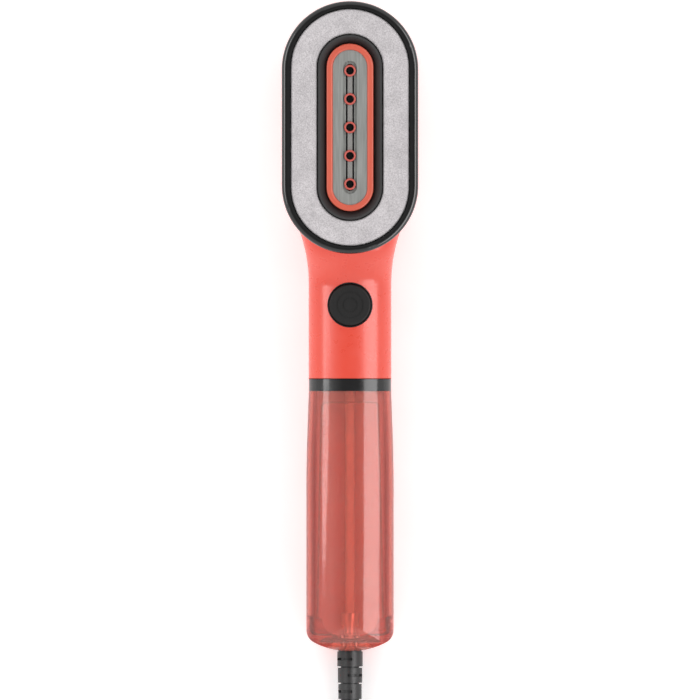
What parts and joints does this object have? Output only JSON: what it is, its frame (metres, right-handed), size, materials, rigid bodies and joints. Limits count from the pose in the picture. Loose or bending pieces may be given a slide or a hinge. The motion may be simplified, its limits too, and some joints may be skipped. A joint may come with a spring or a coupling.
{
  "type": "handheld garment steamer",
  "caption": "Handheld garment steamer with an oval steam head, a textile pad, a thumb button, a clear water tank in the handle and a mains cord.",
  "frame": {"origin": "middle of the steamer's footprint on the surface that its flat back rests on", "axes": "+Z out of the steam plate, +Y along the object towards the steam head, +X across the grip"},
  "size_m": [0.0636, 0.542, 0.0666],
  "materials": {
    "coral_shell": "glossy moulded ABS, coral",
    "black_gloss": "semi-gloss moulded black plastic",
    "dark_plastic": "matt heat-resistant plastic",
    "button_black": "fine-textured black plastic",
    "pad_textile": "light grey felted textile",
    "clear_coral": "translucent tinted copolyester, moulded clear",
    "plate_metal": "die-cast aluminium, satin",
    "rail_metal": "thin stamped stainless steel",
    "steel": "plated steel",
    "nozzle_silicone": "coral silicone rubber",
    "black_rubber": "black moulded PVC or rubber",
    "clear_rubber": "pale silicone",
    "cord_sheath": "black PVC sheath",
    "cast_metal": "raw die casting",
    "board_green": "glass-epoxy board",
    "copper_wire": "enamelled copper winding",
    "white_plastic": "natural nylon or polypropylene",
    "pin_brass": "nickelled brass"
  },
  "bodies": {
    "housing": {"rear_shell": "coral_shell", "front_shell": "coral_shell", "spine_cover": "coral_shell", "trim_ring": "coral_shell", "head_bezel": "black_gloss", "nose_collar": "dark_plastic", "steam_plate": "plate_metal", "nozzle_rail": "rail_metal", "nozzle_tip_1": "nozzle_silicone", "nozzle_tip_2": "nozzle_silicone", "nozzle_tip_3": "nozzle_silicone", "nozzle_tip_4": "nozzle_silicone", "nozzle_tip_5": "nozzle_silicone", "boiler_body": "cast_metal", "boiler_cover": "cast_metal", "plate_gasket": "clear_rubber", "boiler_screws": "steel", "heating_element": "steel", "thermostat": "steel", "thermal_fuse": "white_plastic", "heat_shield": "steel", "heater_leads": "clear_rubber", "button_gasket": "black_rubber", "button_spring": "steel", "micro_switch": "dark_plastic", "pump_frame": "steel", "pump_coil": "copper_wire", "pump_tube": "white_plastic", "pump_mounts": "black_rubber", "control_board": "board_green", "inlet_spigot": "white_plastic", "inlet_hose": "clear_rubber", "outlet_hose": "clear_rubber", "lead_live": "clear_rubber", "lead_neutral": "clear_rubber", "cord_clamp": "white_plastic", "clamp_screws": "steel", "housing_screws": "steel", "strain_relief": "black_rubber", "power_cord": "cord_sheath", "cord_coil": "cord_sheath", "cord_tail": "cord_sheath", "cord_tie": "black_rubber", "plug_body": "black_rubber", "plug_pins": "pin_brass"},
    "tank": {"tank_shell": "clear_coral", "tank_back": "clear_coral", "tank_cap": "black_gloss", "outlet_seal": "black_rubber", "dip_tube": "clear_rubber", "dip_weight": "steel"},
    "filler": {"filler_plug": "clear_rubber"},
    "pad": {"pad_frame": "dark_plastic", "pad_cloth": "pad_textile"},
    "button": {"steam_button": "button_black"},
    "plunger": {"switch_plunger": "white_plastic"},
    "piston": {"pump_piston": "steel"}
  },
  "joints": [
    {"name": "button_press", "type": "slide", "parent": "housing", "child": "button", "axis": [0, 0, 1], "range_m": [-0.002, 0], "stiffness_N_per_m": 500, "springref_m": 0.002, "deforming": ["button_spring"]},
    {"name": "switch_travel", "type": "slide", "parent": "housing", "child": "plunger", "axis": [0, 0, 1], "range_m": [-0.002, 0]},
    {"name": "pump_stroke", "type": "slide", "parent": "housing", "child": "piston", "axis": [0, 1, 0], "range_m": [-0.0015, 0.0015], "stiffness_N_per_m": 300},
    {"name": "tank_lift", "type": "slide", "parent": "housing", "child": "tank", "axis": [0, 0, 1], "range_m": [0, 0.06]},
    {"name": "filler_pull", "type": "slide", "parent": "tank", "child": "filler", "axis": [0, -1, 0], "range_m": [0, 0.012]},
    {"name": "pad_lift", "type": "slide", "parent": "housing", "child": "pad", "axis": [0, 0, 1], "range_m": [0, 0.03]}
  ],
  "couplings": [
    {"joint": "switch_travel", "follows": "button_press", "ratio": 1}
  ]
}
